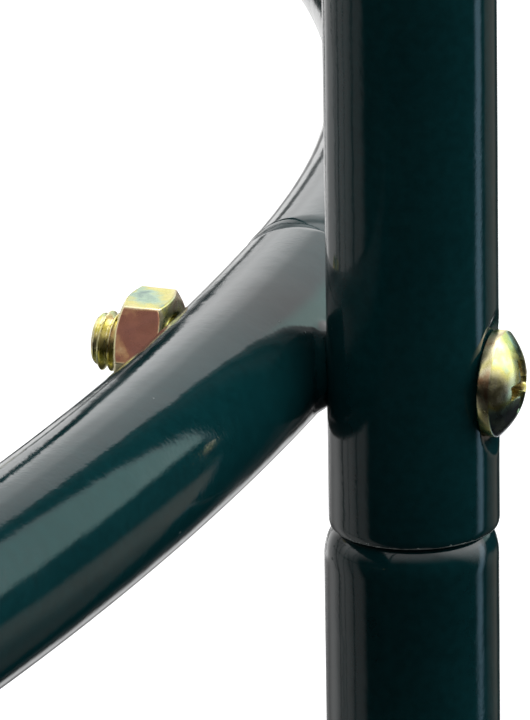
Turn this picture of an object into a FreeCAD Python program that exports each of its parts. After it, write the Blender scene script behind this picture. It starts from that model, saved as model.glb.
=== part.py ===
import FreeCAD, Part
import math
import os

# Metal trellis arch: three tubular hoops tied together by horizontal rungs on their outside.
# Every piece of tube slips over the swaged neck of the next one, and one bolt through each
# crossing clamps rung and hoop together.  +X is right, +Y is to the rear, +Z is up.
# The origin is on the ground, in the middle of the passage.  All sizes are in millimetres.

V = FreeCAD.Vector
os.makedirs("parts", exist_ok=True)

# ---------------------------------------------------------------- driving dimensions
TUBE_OD = 16.5              # hoops and rungs are the same tube
TUBE_WALL = 1.2
CROWN_RADIUS = 560.0        # centreline, flatter top of the arch
SHOULDER_RADIUS = 290.0     # centreline, tighter bends at both sides
CROWN_HALF_ANGLE = 45.0     # degrees from the top to the crown's end rung
SPRING_HEIGHT = 1700.0      # where the shoulder bends turn into straight legs
HOOP_SPACING = 500.0
RUNG_OVERHANG = 30.0        # rung beyond the front and rear hoops

SIDE_RUNGS = 5              # on each side, below the shoulders
LOWEST_RUNG = 198.0         # height of the lowest rung's axis
TOP_RUNG_DROP = 122.0       # top side rung below the spring height
CROWN_RUNGS = 2             # evenly spaced between the two shoulder rungs

HOOP_SOCKET = 19.5          # bolt axis to the end of the hoop's sleeve
RUNG_SOCKET = 15.0          # bolt axis to the end of the rung's sleeve
NECK_BEYOND_BOLT = 16.0     # swaged neck past the bolt axis
NECK_CLEARANCE = 0.15       # radial, neck in sleeve
ROLL_LENGTH = 3.3           # rounded shoulder between full tube and neck
LIP_RADIUS = 0.6            # rounded outer edge of a sleeve
CROSSING_GAP = 0.05         # rung to hoop, a coat of paint

BOLT_D = 6.0
BOLT_HOLE_CLEARANCE = 0.4   # on the diameter
BOLT_PAST_NUT = 2.5         # least length beyond the nut
BOLT_LENGTH_STEP = 5.0      # bolts are sold in these steps
BOLT_CHAMFER = 0.6
HEAD_D = 10.4
HEAD_HEIGHT = 3.4
HEAD_EDGE = 1.2             # upright rim of the pan head
RECESS_SPAN = 5.4
RECESS_WIDTH = 1.2
RECESS_DEPTH = 1.9
NUT_FLATS = 10.0
NUT_HEIGHT = 4.7
NUT_CHAMFER_ANGLE = 30.0
THREAD_CLEARANCE = 0.01     # radial, nut on shank
HEAD_SEAT = 0.35            # depth of the flat pressed under a bolt head
NUT_SEAT = 0.3
SEAT_MARGIN = 0.4           # flat beyond the head or nut

CAP_FLANGE = 2.0
CAP_FLANGE_ROUND = 1.2
CAP_PLUG = 12.0
CAP_CLEARANCE = 0.1

FOOT_WIDTH = 80.0
FOOT_THICKNESS = 4.0
FOOT_CORNER = 8.0
FOOT_HOLE_EDGE = 12.0       # hole centre to the edge of the plate
FOOT_HOLE_D = 9.0
SPIGOT_HEIGHT = 60.0
SPIGOT_CLEARANCE = 0.15
SPIGOT_CHAMFER = 1.0
FOOT_BOLT_HEIGHT = 30.0     # above the foot plate

# ---------------------------------------------------------------- sizes that follow
TUBE_R = TUBE_OD / 2
BORE_R = TUBE_R - TUBE_WALL
NECK_R = BORE_R - NECK_CLEARANCE
NECK_BORE_R = NECK_R - TUBE_WALL
RUNG_OFFSET = TUBE_OD + CROSSING_GAP
HOOP_PLANES = {"front": -HOOP_SPACING, "middle": 0.0, "rear": HOOP_SPACING}
RUNG_END = HOOP_SPACING + RUNG_OVERHANG

SEAM_ANGLE = CROWN_HALF_ANGLE + math.degrees(HOOP_SOCKET / CROWN_RADIUS)
SEAM_SIN = math.sin(math.radians(SEAM_ANGLE))
SEAM_COS = math.cos(math.radians(SEAM_ANGLE))
BEND_CENTRE_X = (CROWN_RADIUS - SHOULDER_RADIUS) * SEAM_SIN + ROLL_LENGTH * SEAM_COS
HALF_WIDTH = BEND_CENTRE_X + SHOULDER_RADIUS
CROWN_CENTRE_Z = SPRING_HEIGHT - (CROWN_RADIUS - SHOULDER_RADIUS) * SEAM_COS + ROLL_LENGTH * SEAM_SIN

TOP_SIDE_RUNG = SPRING_HEIGHT - TOP_RUNG_DROP
RUNG_PITCH = (TOP_SIDE_RUNG - LOWEST_RUNG) / (SIDE_RUNGS - 1)
SIDE_RUNG_HEIGHTS = [LOWEST_RUNG + RUNG_PITCH * step for step in range(SIDE_RUNGS)]
LEG_SPLIT = SIDE_RUNG_HEIGHTS[SIDE_RUNGS // 2]

HEAD_SEAT_R = HEAD_D / 2 + SEAT_MARGIN
NUT_CORNER_R = NUT_FLATS / math.sqrt(3)
NUT_SEAT_R = NUT_CORNER_R + SEAT_MARGIN
HEAD_PLANE = TUBE_R - HEAD_SEAT     # under the head, from the tube's axis
RUNG_GRIP = TUBE_OD + RUNG_OFFSET - HEAD_SEAT - NUT_SEAT
FOOT_GRIP = TUBE_OD - HEAD_SEAT - NUT_SEAT
BOLT_HOLE_R = (BOLT_D + BOLT_HOLE_CLEARANCE) / 2
FOOT_HOLE_SPACING = FOOT_WIDTH - 2 * FOOT_HOLE_EDGE
UP = V(0, 0, 1)
ALONG_Y = V(0, 1, 0)


# ---------------------------------------------------------------- crossings
def crown_crossing(angle):
    """Rung axis above the crown: x, z and the angle of the bolt from vertical."""
    radius = CROWN_RADIUS + RUNG_OFFSET
    turn = math.radians(angle)
    return radius * math.sin(turn), CROWN_CENTRE_Z + radius * math.cos(turn), angle


def side_crossing(side, height):
    return side * (HALF_WIDTH + RUNG_OFFSET), height, side * 90.0


def rung_crossings():
    """Every rung by name, with the place of its axis in the hoop's plane."""
    rungs = {}
    for side, word in ((-1, "left"), (1, "right")):
        for number, height in enumerate(SIDE_RUNG_HEIGHTS, 1):
            rungs[f"{word}_rung_{number}"] = side_crossing(side, height)
        rungs[f"{word}_shoulder_rung"] = crown_crossing(side * CROWN_HALF_ANGLE)
    for number in range(1, CROWN_RUNGS + 1):
        angle = CROWN_HALF_ANGLE * (2 * number / (CROWN_RUNGS + 1) - 1)
        rungs[f"crown_rung_{number}"] = crown_crossing(angle)
    return rungs


RUNGS = rung_crossings()


def bolt_placement(crossing, plane_y, along):
    """A frame on a crossing: +Z out of the arch along the bolt, moved along it from the rung axis."""
    x, z, angle = crossing
    turn = FreeCAD.Rotation(ALONG_Y, angle)
    return FreeCAD.Placement(V(x, plane_y, z) + turn.multVec(UP) * along, turn)


def placed(shape, placement):
    copy = shape.copy()
    copy.Placement = placement
    return copy


# ---------------------------------------------------------------- tube shapes
def straight_tube(low, high, outer=TUBE_R, inner=BORE_R):
    """A tube along Z between two heights."""
    solid = Part.makeCylinder(outer, high - low, V(0, 0, low))
    return solid.cut(Part.makeCylinder(inner, high - low, V(0, 0, low)))


def bent_tube(centre, radius, start, end, outer=TUBE_R, inner=BORE_R):
    """A tube along an arc in the XZ plane; angles in degrees from the top, clockwise from the front."""
    disc = Part.Face(Part.Wire(Part.makeCircle(outer, V(radius, 0, 0), UP)))
    hole = Part.Face(Part.Wire(Part.makeCircle(inner, V(radius, 0, 0), UP)))
    ring = disc.cut(hole).Faces[0]
    ring.rotate(V(0, 0, 0), ALONG_Y, start - 90)
    ring.translate(centre)
    return ring.revolve(centre, ALONG_Y, end - start)


def rolled_end():
    """The rounded shoulder of a swaged tube: full tube below the seam at z = 0, neck size at it."""
    drop = TUBE_R - NECK_R
    roll_radius = (ROLL_LENGTH ** 2 + drop ** 2) / (2 * drop)
    half_turn = math.asin(ROLL_LENGTH / roll_radius) / 2
    start = V(TUBE_R, 0, -ROLL_LENGTH)
    middle = V(TUBE_R - roll_radius * (1 - math.cos(half_turn)), 0,
               roll_radius * math.sin(half_turn) - ROLL_LENGTH)
    end = V(NECK_R, 0, 0)
    bore_end = V(NECK_BORE_R, 0, 0)
    bore_start = V(BORE_R, 0, -ROLL_LENGTH)
    outline = Part.Wire([Part.Arc(start, middle, end).toShape(),
                         Part.makeLine(end, bore_end),
                         Part.makeLine(bore_end, bore_start),
                         Part.makeLine(bore_start, start)])
    return Part.Face(outline).revolve(V(0, 0, 0), UP, 360)


def straight_neck(socket):
    """A swaged end along +Z with its seam at z = 0."""
    return rolled_end().fuse(straight_tube(0, socket + NECK_BEYOND_BOLT, NECK_R, NECK_BORE_R))


def joined(first, *others):
    """One solid from pieces of tube that meet face to face."""
    return first.multiFuse(others).removeSplitter()


def round_lip(tube, point):
    """Round the outer edge of the sleeve end whose centre is at point."""
    rims = [edge for edge in tube.Edges
            if isinstance(edge.Curve, Part.Circle)
            and abs(edge.Curve.Radius - TUBE_R) < 1e-6
            and edge.Curve.Center.distanceToPoint(point) < 1e-3]
    return tube.makeFillet(min(LIP_RADIUS, TUBE_WALL / 2), rims)


# ---------------------------------------------------------------- holes and seats
def bolt_cutter(grip):
    """Bolt hole with the flats that the head and the nut pull into the tubes, along Z."""
    hole = Part.makeCylinder(BOLT_HOLE_R, grip + TUBE_OD, V(0, 0, HEAD_PLANE - grip - TUBE_R))
    head_flat = Part.makeCylinder(HEAD_SEAT_R, TUBE_R, V(0, 0, HEAD_PLANE))
    nut_flat = Part.makeCylinder(NUT_SEAT_R, TUBE_R, V(0, 0, HEAD_PLANE - grip - TUBE_R))
    return hole.multiFuse([head_flat, nut_flat])


RUNG_CUTTER = bolt_cutter(RUNG_GRIP)
FOOT_CUTTER = bolt_cutter(FOOT_GRIP)


def drilled(tube, names):
    """Cut the bolt holes of the named rungs in a hoop piece."""
    return tube.cut([placed(RUNG_CUTTER, bolt_placement(RUNGS[name], 0, 0)) for name in names])


def foot_bolt_placement(side, plane_y, along):
    """A frame on a foot bolt, which runs front to rear with its head in front: +Z towards the head."""
    height = FOOT_THICKNESS + FOOT_BOLT_HEIGHT
    return FreeCAD.Placement(V(side * HALF_WIDTH, plane_y - along, height),
                             FreeCAD.Rotation(V(1, 0, 0), 90))


# ---------------------------------------------------------------- hoop pieces, built at y = 0
def crown():
    centre = V(0, 0, CROWN_CENTRE_Z)
    tube = bent_tube(centre, CROWN_RADIUS, -SEAM_ANGLE, SEAM_ANGLE)
    for side in (-1, 1):
        tube = round_lip(tube, centre + V(side * CROWN_RADIUS * SEAM_SIN, 0, CROWN_RADIUS * SEAM_COS))
    names = [f"crown_rung_{number}" for number in range(1, CROWN_RUNGS + 1)]
    return drilled(tube, ["left_shoulder_rung", "right_shoulder_rung"] + names)


def right_shoulder():
    centre = V(0, 0, CROWN_CENTRE_Z)
    seam = centre + V(CROWN_RADIUS * SEAM_SIN, 0, CROWN_RADIUS * SEAM_COS)
    neck_turn = math.degrees((HOOP_SOCKET + NECK_BEYOND_BOLT) / CROWN_RADIUS)
    neck = bent_tube(centre, CROWN_RADIUS, SEAM_ANGLE - neck_turn, SEAM_ANGLE, NECK_R, NECK_BORE_R)
    roll = placed(rolled_end(), FreeCAD.Placement(seam, FreeCAD.Rotation(ALONG_Y, SEAM_ANGLE - 90)))
    bend = bent_tube(V(BEND_CENTRE_X, 0, SPRING_HEIGHT), SHOULDER_RADIUS, SEAM_ANGLE, 90)
    end = TOP_SIDE_RUNG - HOOP_SOCKET
    tail = straight_tube(end, SPRING_HEIGHT)
    tail.translate(V(HALF_WIDTH, 0, 0))
    tube = round_lip(joined(bend, tail, roll, neck), V(HALF_WIDTH, 0, end))
    return drilled(tube, ["right_shoulder_rung", f"right_rung_{SIDE_RUNGS}"])


def right_leg(seam_above, end, open_sleeve, rungs):
    """A straight leg with a neck at its top; its lower end is a sleeve or stands on a foot."""
    neck = straight_neck(HOOP_SOCKET)
    neck.translate(V(0, 0, seam_above))
    tube = joined(straight_tube(end, seam_above - ROLL_LENGTH), neck)
    tube.translate(V(HALF_WIDTH, 0, 0))
    if open_sleeve:
        tube = round_lip(tube, V(HALF_WIDTH, 0, end))
    else:
        tube = tube.cut(placed(FOOT_CUTTER, foot_bolt_placement(1, 0, 0)))
    return drilled(tube, rungs)


def right_upper_leg():
    rungs = [f"right_rung_{number}" for number in range(SIDE_RUNGS // 2 + 1, SIDE_RUNGS + 1)]
    return right_leg(TOP_SIDE_RUNG - HOOP_SOCKET, LEG_SPLIT - HOOP_SOCKET, True, rungs)


def right_lower_leg():
    rungs = [f"right_rung_{number}" for number in range(1, SIDE_RUNGS // 2 + 2)]
    return right_leg(LEG_SPLIT - HOOP_SOCKET, FOOT_THICKNESS, False, rungs)


# ---------------------------------------------------------------- rungs, built along Z
def front_rung():
    """The front half of a rung: its rear end is the sleeve at the middle hoop."""
    tube = straight_tube(-RUNG_END, RUNG_SOCKET)
    return round_lip(tube, V(0, 0, RUNG_SOCKET))


def rear_rung():
    """The rear half of a rung: its front end is a neck inside the front half's sleeve."""
    neck = straight_neck(RUNG_SOCKET)
    neck.rotate(V(0, 0, 0), V(1, 0, 0), 180)
    neck.translate(V(0, 0, RUNG_SOCKET))
    return joined(straight_tube(RUNG_SOCKET + ROLL_LENGTH, RUNG_END), neck)


def rung_in_place(blank, crossing):
    """Turn a rung from Z to Y, put it on its crossing and drill it at the hoops it meets."""
    x, z, angle = crossing
    tube = blank.copy()
    tube.rotate(V(0, 0, 0), V(1, 0, 0), -90)
    tube.rotate(V(0, 0, 0), ALONG_Y, angle)
    tube.translate(V(x, 0, z))
    cutters = [placed(RUNG_CUTTER, bolt_placement(crossing, plane_y, 0))
               for plane_y in HOOP_PLANES.values()]
    return tube.cut(cutters)


def rung_cap():
    """A plastic plug for the open end of a rung: flange outside, plug towards -Z."""
    flange = Part.makeCylinder(TUBE_R, CAP_FLANGE)
    rim = [edge for edge in flange.Edges
           if isinstance(edge.Curve, Part.Circle) and edge.Curve.Center.z > CAP_FLANGE / 2]
    flange = flange.makeFillet(min(CAP_FLANGE_ROUND, CAP_FLANGE * 0.9), rim)
    return flange.fuse(Part.makeCylinder(BORE_R - CAP_CLEARANCE, CAP_PLUG, V(0, 0, -CAP_PLUG)))


# ---------------------------------------------------------------- fasteners
def pan_bolt(length):
    """Pan head bolt along Z: seat at z = 0, head above, shank below."""
    crown_middle = V(HEAD_D / 2 * 0.72, 0, HEAD_EDGE + (HEAD_HEIGHT - HEAD_EDGE) * 0.72)
    rim = V(HEAD_D / 2, 0, HEAD_EDGE)
    top = V(0, 0, HEAD_HEIGHT)
    outline = Part.Wire([Part.makeLine(V(0, 0, 0), V(HEAD_D / 2, 0, 0)),
                         Part.makeLine(V(HEAD_D / 2, 0, 0), rim),
                         Part.Arc(rim, crown_middle, top).toShape(),
                         Part.makeLine(top, V(0, 0, 0))])
    head = Part.Face(outline).revolve(V(0, 0, 0), UP, 360)
    shank = Part.makeCylinder(BOLT_D / 2, length - BOLT_CHAMFER, V(0, 0, BOLT_CHAMFER - length))
    point = Part.makeCone(BOLT_D / 2 - BOLT_CHAMFER, BOLT_D / 2, BOLT_CHAMFER, V(0, 0, -length))
    bolt = head.multiFuse([shank, point])
    for turn in (0, 90):
        slot = Part.makeBox(RECESS_SPAN, RECESS_WIDTH, HEAD_HEIGHT,
                            V(-RECESS_SPAN / 2, -RECESS_WIDTH / 2, HEAD_HEIGHT - RECESS_DEPTH))
        slot.rotate(V(0, 0, 0), UP, turn)
        bolt = bolt.cut(slot)
    return bolt


def hex_nut():
    """Hexagon nut along Z with its bearing face at z = 0 and its body below."""
    corners = [V(NUT_CORNER_R * math.cos(math.radians(60 * step)),
                 NUT_CORNER_R * math.sin(math.radians(60 * step)), -NUT_HEIGHT) for step in range(7)]
    prism = Part.Face(Part.makePolygon(corners)).extrude(V(0, 0, NUT_HEIGHT))
    rise = (NUT_CORNER_R - NUT_FLATS / 2) * math.tan(math.radians(NUT_CHAMFER_ANGLE))
    flat_r = NUT_FLATS / 2
    barrel = Part.makeCylinder(NUT_CORNER_R, NUT_HEIGHT - 2 * rise, V(0, 0, rise - NUT_HEIGHT))
    lower = Part.makeCone(flat_r, NUT_CORNER_R, rise, V(0, 0, -NUT_HEIGHT))
    upper = Part.makeCone(NUT_CORNER_R, flat_r, rise, V(0, 0, -rise))
    body = prism.common(barrel.multiFuse([lower, upper]).removeSplitter())
    bore = Part.makeCylinder(BOLT_D / 2 + THREAD_CLEARANCE, NUT_HEIGHT, V(0, 0, -NUT_HEIGHT))
    return body.cut(bore)


# ---------------------------------------------------------------- feet
def right_foot():
    """Base plate with a welded spigot for the leg and four fixing holes."""
    half = FOOT_WIDTH / 2
    plate = Part.makeBox(FOOT_WIDTH, FOOT_WIDTH, FOOT_THICKNESS, V(-half, -half, 0))
    uprights = [edge for edge in plate.Edges if abs(edge.tangentAt(edge.FirstParameter).z) > 0.9]
    plate = plate.makeFillet(FOOT_CORNER, uprights)
    for step_x in (-0.5, 0.5):
        for step_y in (-0.5, 0.5):
            place = V(step_x * FOOT_HOLE_SPACING, step_y * FOOT_HOLE_SPACING, 0)
            plate = plate.cut(Part.makeCylinder(FOOT_HOLE_D / 2, FOOT_THICKNESS, place))
    spigot_r = BORE_R - SPIGOT_CLEARANCE
    body = SPIGOT_HEIGHT - SPIGOT_CHAMFER
    spigot = Part.makeCylinder(spigot_r, body, V(0, 0, FOOT_THICKNESS))
    tip = Part.makeCone(spigot_r, spigot_r - SPIGOT_CHAMFER, SPIGOT_CHAMFER, V(0, 0, FOOT_THICKNESS + body))
    foot = joined(plate, spigot, tip)
    foot.translate(V(HALF_WIDTH, 0, 0))
    hole = Part.makeCylinder(BOLT_HOLE_R, TUBE_OD, V(0, 0, -TUBE_R))
    return foot.cut(placed(hole, foot_bolt_placement(1, 0, 0)))


# ---------------------------------------------------------------- the assembly
def save(name, shape):
    """Write one node, as a plain solid or as a group of separate solids."""
    solids = shape if isinstance(shape, list) else shape.Solids
    for solid in solids:
        if not solid.isValid():
            raise ValueError(f"{name} is not a valid solid")
    group = solids[0] if len(solids) == 1 else Part.makeCompound(solids)
    group.exportStep(f"parts/{name}.step")
    print(f"{name}: {len(solids)} solid(s), {sum(solid.Volume for solid in solids):.1f} mm3")


def build_hoops():
    right_pieces = {"shoulder": right_shoulder(), "upper_leg": right_upper_leg(),
                    "lower_leg": right_lower_leg(), "foot": right_foot()}
    top = crown()
    for plane, plane_y in HOOP_PLANES.items():
        shift = V(0, plane_y, 0)
        save(f"{plane}_crown", top.translated(shift))
        for piece, right in right_pieces.items():
            left = right.mirror(V(0, 0, 0), V(1, 0, 0))
            save(f"{plane}_right_{piece}", right.translated(shift))
            save(f"{plane}_left_{piece}", left.translated(shift))


def build_rungs():
    front = front_rung()
    rear = rear_rung()
    for name, crossing in RUNGS.items():
        save(f"{name}_front", rung_in_place(front, crossing))
        save(f"{name}_rear", rung_in_place(rear, crossing))


def bolt_length(grip):
    """The shortest bolt on sale that passes through the nut far enough."""
    return BOLT_LENGTH_STEP * math.ceil((grip + NUT_HEIGHT + BOLT_PAST_NUT) / BOLT_LENGTH_STEP)


def build_fasteners():
    bolt = pan_bolt(bolt_length(RUNG_GRIP))
    nut = hex_nut()
    bolts = []
    nuts = []
    for crossing in RUNGS.values():
        for plane_y in HOOP_PLANES.values():
            bolts.append(placed(bolt, bolt_placement(crossing, plane_y, HEAD_PLANE)))
            nuts.append(placed(nut, bolt_placement(crossing, plane_y, HEAD_PLANE - RUNG_GRIP)))
    short_bolt = pan_bolt(bolt_length(FOOT_GRIP))
    foot_bolts = []
    for side in (-1, 1):
        for plane_y in HOOP_PLANES.values():
            foot_bolts.append(placed(short_bolt, foot_bolt_placement(side, plane_y, HEAD_PLANE)))
            nuts.append(placed(nut, foot_bolt_placement(side, plane_y, HEAD_PLANE - FOOT_GRIP)))
    save("rung_bolts", bolts)
    save("foot_bolts", foot_bolts)
    save("hex_nuts", nuts)


def build_caps():
    cap = rung_cap()
    caps = []
    for x, z, _ in RUNGS.values():
        for end, turn in ((-1, 90), (1, -90)):
            place = FreeCAD.Placement(V(x, end * RUNG_END, z), FreeCAD.Rotation(V(1, 0, 0), turn))
            caps.append(placed(cap, place))
    save("rung_caps", caps)


build_hoops()
build_rungs()
build_fasteners()
build_caps()
print(f"half width {HALF_WIDTH:.2f}, crown centre {CROWN_CENTRE_Z:.2f}, "
      f"top {CROWN_CENTRE_Z + CROWN_RADIUS + RUNG_OFFSET + TUBE_R:.2f}, rung pitch {RUNG_PITCH:.1f}")
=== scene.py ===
import math
import random

import bmesh
import bpy
import numpy as np
from mathutils import Matrix, Vector


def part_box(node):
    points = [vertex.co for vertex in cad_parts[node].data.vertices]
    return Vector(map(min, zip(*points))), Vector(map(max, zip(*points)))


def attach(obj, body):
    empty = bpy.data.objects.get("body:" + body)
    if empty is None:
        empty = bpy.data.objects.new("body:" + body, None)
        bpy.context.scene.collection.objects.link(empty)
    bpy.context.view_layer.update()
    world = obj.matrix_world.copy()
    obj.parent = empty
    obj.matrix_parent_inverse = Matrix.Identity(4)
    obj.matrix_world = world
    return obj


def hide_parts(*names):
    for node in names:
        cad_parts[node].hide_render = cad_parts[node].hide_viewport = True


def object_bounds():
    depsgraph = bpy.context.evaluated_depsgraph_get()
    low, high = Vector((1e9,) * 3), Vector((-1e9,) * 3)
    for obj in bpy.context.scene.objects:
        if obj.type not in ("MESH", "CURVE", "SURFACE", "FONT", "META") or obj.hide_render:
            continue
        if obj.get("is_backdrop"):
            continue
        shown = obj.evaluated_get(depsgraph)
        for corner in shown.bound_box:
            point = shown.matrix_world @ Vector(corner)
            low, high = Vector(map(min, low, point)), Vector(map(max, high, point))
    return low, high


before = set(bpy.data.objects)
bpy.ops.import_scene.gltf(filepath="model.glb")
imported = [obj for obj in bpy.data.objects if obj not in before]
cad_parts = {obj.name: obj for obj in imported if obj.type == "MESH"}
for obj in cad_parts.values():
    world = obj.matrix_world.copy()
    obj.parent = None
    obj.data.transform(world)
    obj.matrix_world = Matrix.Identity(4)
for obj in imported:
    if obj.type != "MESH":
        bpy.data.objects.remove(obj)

CAD_LOW, CAD_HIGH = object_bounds()
DICE = random.Random(7)
MM = 0.001
UP = np.array([0.0, 0.0, 1.0])
ALONG_Y = np.array([0.0, 1.0, 0.0])

# ---------------------------------------------------------------- sizes in millimetres, as in the CAD part
CROWN_R = 560.0
SHOULDER_R = 290.0
HOOP_SOCKET = 19.5
RUNG_SOCKET = 15.0
NECK_BEYOND_BOLT = 16.0
WALL = 1.2
NECK_CLEARANCE = 0.15
ROLL = 3.3
HOOP_LIP, RUNG_LIP = (1.8, 0.55), (0.9, 0.28)      # length and depth of the rounded sleeve ends
HEAD_D, HEAD_H, HEAD_EDGE = 10.4, 3.4, 1.2
RECESS_SPAN, RECESS_W, RECESS_DEPTH = 5.4, 1.2, 1.9
NUT_FLATS, NUT_H, NUT_BORE = 10.0, 4.7, 3.01
NUT_CORNER_R = NUT_FLATS / math.sqrt(3)
HEAD_SEAT, NUT_SEAT = 0.35, 0.3                    # depth of the flats pressed under heads and nuts
SEAT_MARGIN = 0.4                                  # flat beyond the head or nut
THREAD_R, THREAD_ROOT, PITCH = 2.97, 2.42, 1.0
BOLT_LONG, BOLT_SHORT = 40.0, 25.0
PLAIN_PAST_GRIP = 1.0                              # shank without thread beyond the clamped tubes
WORN_EDGE = 0.19                                   # rounding of the nuts' edges
FOOT_W, FOOT_T, FOOT_CORNER, FOOT_HOLE_R, FOOT_HOLE_AT = 80.0, 4.0, 8.0, 4.5, 28.0
FOOT_BOLT_Z = FOOT_T + 30.0
FOOT_SOFTEN = 0.6                                  # rounding of the plate's edges
SPIGOT_H, SPIGOT_CLEARANCE, SPIGOT_CHAMFER = 60.0, 0.15, 1.0
CAP_FLANGE, CAP_PLUG, CAP_ROUND, CAP_CLEARANCE = 2.0, 12.0, 1.2, 0.1
PAD_R, PAD_EDGE = 4.7, 1.5                         # coat that fills the gap at a crossing
CENTRE_R = 0.05                                    # innermost ring of a closed end

# ---------------------------------------------------------------- how finely the meshes are cut
NEAR_AROUND, HOOP_AROUND, RUNG_AROUND = 160, 56, 48
NEAR_STEP, HOOP_STEP, BORE_STEP, STRAIGHT_STEP, RUNG_STEP = 5, 8, 12, 40, 60
AT_BOLT = (9, 0.9)                                 # reach and step of the finer stations at a bolt


# ---------------------------------------------------------------- places, from the frame
def low_high(node):
    """The corners of a CAD node's box, in millimetres."""
    low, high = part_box(node)
    return np.array(low) / MM, np.array(high) / MM


LEG_LOW, LEG_HIGH = low_high("middle_right_upper_leg")
TUBE_R = (LEG_HIGH[1] - LEG_LOW[1]) / 2
BORE_R = TUBE_R - WALL
NECK_R = BORE_R - NECK_CLEARANCE
NECK_BORE_R = NECK_R - WALL
HALF_WIDTH = low_high("middle_right_foot")[0][0] + FOOT_W / 2
PLANES = {}
for plane in ("front", "middle", "rear"):
    low, high = low_high(f"{plane}_right_foot")
    PLANES[plane] = (low[1] + high[1]) / 2

RUNGS = {}
for name in sorted(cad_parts):
    if "_rung_" in name and name.endswith("_front"):
        low, high = low_high(name)
        RUNGS[name.removesuffix("_front")] = ((low[0] + high[0]) / 2, (low[2] + high[2]) / 2)
RUNG_END = -low_high("left_rung_1_front")[0][1]
SHOULDER_X, SHOULDER_Z = RUNGS["right_shoulder_rung"]
OFFSET = SHOULDER_X * math.sqrt(2) - CROWN_R
CROWN_Z = SHOULDER_Z - SHOULDER_X
SEAM = math.radians(45) + HOOP_SOCKET / CROWN_R
BEND_X = HALF_WIDTH - SHOULDER_R
BEND_Z = CROWN_Z + (CROWN_R - SHOULDER_R) * math.cos(SEAM) - ROLL * math.sin(SEAM)
TOP_SIDE_Z = RUNGS["right_rung_5"][1]
SPLIT_Z = RUNGS["right_rung_3"][1]


def outward(name):
    """The unit vector of a rung's bolt, out of the arch."""
    x, z = RUNGS[name]
    if name.startswith(("left_rung", "right_rung")):
        return np.array([math.copysign(1, x), 0, 0])
    direction = np.array([x, 0, z - CROWN_Z])
    return direction / np.linalg.norm(direction)


# The joint that the camera looks at, and what is particular to it.
NEAR_RUNG, NEAR_PLANE = "left_shoulder_rung", "middle"
JOINT = np.array([RUNGS[NEAR_RUNG][0], PLANES[NEAR_PLANE], RUNGS[NEAR_RUNG][1]])
JOINT_OUT = outward(NEAR_RUNG)
NEAR_LEAN = 0.027                                  # tangent of the bolt's lean, its head to the rear
NEAR_NUT_SPIN = 3.0
NEAR_NUT_LIFT = 0.20                               # the nut stands this far towards the head
NEAR_NUT_SEAT = (6.2, 0.38)                        # reach and depth
NEAR_NUT_LEVER = 33                                # from the head to the nut's seat
NEAR_HEAD_DEEPER, NEAR_HEAD_MARGIN = 0.12, 1.1     # of the head's seat
NEAR_COAT_FRONT, NEAR_COAT_REAR = 0.14, 0.34       # thicker coat on the two halves of the rung
NEAR_SHIFT = -0.3                                  # of the rear half, along the bolt
NEAR_REACH = 60                                    # how far along the rung both go
NEAR_FILMS_AND_REFLECTIONS = [0.02, 0.0, 0.0, 0.0, -0.035, 0.135]  # chromate film on the nut's six sides, with painted reflections: each side shifted to the colour it mirrors


def is_near(name, plane_y):
    """Whether a rung's crossing with a hoop is the near joint."""
    return name == NEAR_RUNG and plane_y == PLANES[NEAR_PLANE]


# ---------------------------------------------------------------- meshes
class Soup:
    """Grids of points that become one mesh."""

    def __init__(self):
        self.points, self.quads, self.caps, self.tags, self.count = [], [], [], [], 0

    def grid(self, rows, closed_rows=False, cap_first=False, cap_last=False, tag=None):
        """rows x columns of points: a row is a closed ring, and closed_rows joins the last to the first."""
        n, m, _ = rows.shape
        index = self.count + np.arange(n * m).reshape(n, m)
        if closed_rows:
            below, above = index, np.roll(index, -1, 0)
        else:
            below, above = index[:-1], index[1:]
        right = np.roll(below, -1, 1), np.roll(above, -1, 1)
        self.quads.append(np.stack([below, right[0], right[1], above], -1).reshape(-1, 4))
        if cap_first:
            self.caps.append(index[0][::-1])
        if cap_last:
            self.caps.append(index[-1])
        self.points.append(rows.reshape(-1, 3))
        self.tags.append(np.zeros(n * m) if tag is None else tag.reshape(-1))
        self.count += n * m

    def make(self, name, sharp=35):
        """A mesh object in metres, with its faces turned outwards."""
        points = np.concatenate(self.points) * MM
        quads = np.concatenate(self.quads)
        mesh = bpy.data.meshes.new(name)
        loops = [quads.reshape(-1)] + self.caps
        sizes = np.concatenate([np.full(len(quads), 4)] + [np.array([len(c)]) for c in self.caps])
        starts = np.concatenate([[0], np.cumsum(sizes)[:-1]])
        mesh.vertices.add(len(points))
        mesh.vertices.foreach_set("co", points.astype(np.float32).ravel())
        mesh.loops.add(int(sizes.sum()))
        mesh.loops.foreach_set("vertex_index", np.concatenate(loops).astype(np.int32))
        mesh.polygons.add(len(sizes))
        mesh.polygons.foreach_set("loop_start", starts.astype(np.int32))
        mesh.update(calc_edges=True)
        mesh.validate()
        attribute = mesh.attributes.new("mark", "FLOAT", "POINT")
        attribute.data.foreach_set("value", np.concatenate(self.tags).astype(np.float32))
        work = bmesh.new()
        work.from_mesh(mesh)
        bmesh.ops.recalc_face_normals(work, faces=work.faces)
        work.to_mesh(mesh)
        work.free()
        mesh.polygons.foreach_set("use_smooth", np.ones(len(mesh.polygons), bool))
        mesh.set_sharp_from_angle(angle=math.radians(sharp))
        thing = bpy.data.objects.new(name, mesh)
        bpy.context.scene.collection.objects.link(thing)
        return thing


def spread(start, end, coarse, dense=()):
    """Stations from start to end: coarse steps, and finer ones within each (middle, reach, step)."""
    found = list(np.linspace(start, end, max(2, int(math.ceil(abs(end - start) / coarse)) + 1)))
    low, high = min(start, end), max(start, end)
    for middle, reach, step in dense:
        near = np.arange(middle - reach, middle + reach + step / 2, step)
        found += [s for s in near if low < s < high]
    found = np.unique(np.round(found, 4))
    keep = [found[0]]
    for s in found[1:]:
        if s - keep[-1] > 0.05:
            keep.append(s)
    keep[-1] = high
    return keep if end > start else keep[::-1]


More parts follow.
